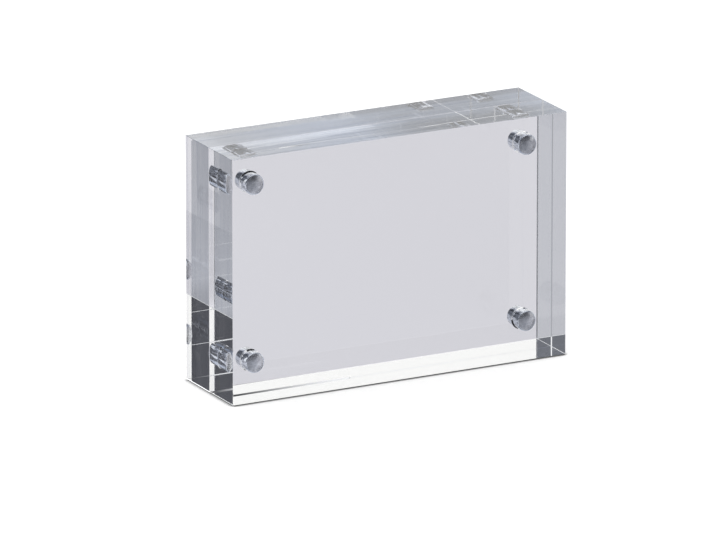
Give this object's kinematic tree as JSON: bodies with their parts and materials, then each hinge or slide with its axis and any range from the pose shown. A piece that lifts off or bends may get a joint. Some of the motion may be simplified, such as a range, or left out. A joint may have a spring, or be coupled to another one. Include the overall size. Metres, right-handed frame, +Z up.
{
  "type": "acrylic block frame",
  "caption": "Free-standing desk photo frame: two thick clear acrylic slabs that pull apart, held face to face by magnets near the corners, with the picture between them.",
  "frame": {"origin": "on the surface that the frame stands on, under the middle of the closed frame", "axes": "+X along the width, to the right as seen from the front; the front face looks along -Y; +Z up"},
  "size_m": [0.089, 0.0242, 0.06],
  "materials": {
    "clear_acrylic": "clear cast acrylic, all faces polished",
    "nickel_plate": "bright nickel plate over sintered magnet",
    "clear_adhesive": "clear cured adhesive"
  },
  "bodies": {
    "rear": {"rear_block": "clear_acrylic", "rear_magnet_lower_left": "nickel_plate", "rear_bond_lower_left": "clear_adhesive", "rear_magnet_lower_right": "nickel_plate", "rear_bond_lower_right": "clear_adhesive", "rear_magnet_upper_left": "nickel_plate", "rear_bond_upper_left": "clear_adhesive", "rear_magnet_upper_right": "nickel_plate", "rear_bond_upper_right": "clear_adhesive"},
    "front": {"front_block": "clear_acrylic", "front_magnet_lower_left": "nickel_plate", "front_bond_lower_left": "clear_adhesive", "front_magnet_lower_right": "nickel_plate", "front_bond_lower_right": "clear_adhesive", "front_magnet_upper_left": "nickel_plate", "front_bond_upper_left": "clear_adhesive", "front_magnet_upper_right": "nickel_plate", "front_bond_upper_right": "clear_adhesive"}
  },
  "joints": [
    {"name": "front_pull_off", "type": "slide", "parent": "rear", "child": "front", "axis": [0, -1, 0], "range_m": [0, 0.06]}
  ]
}
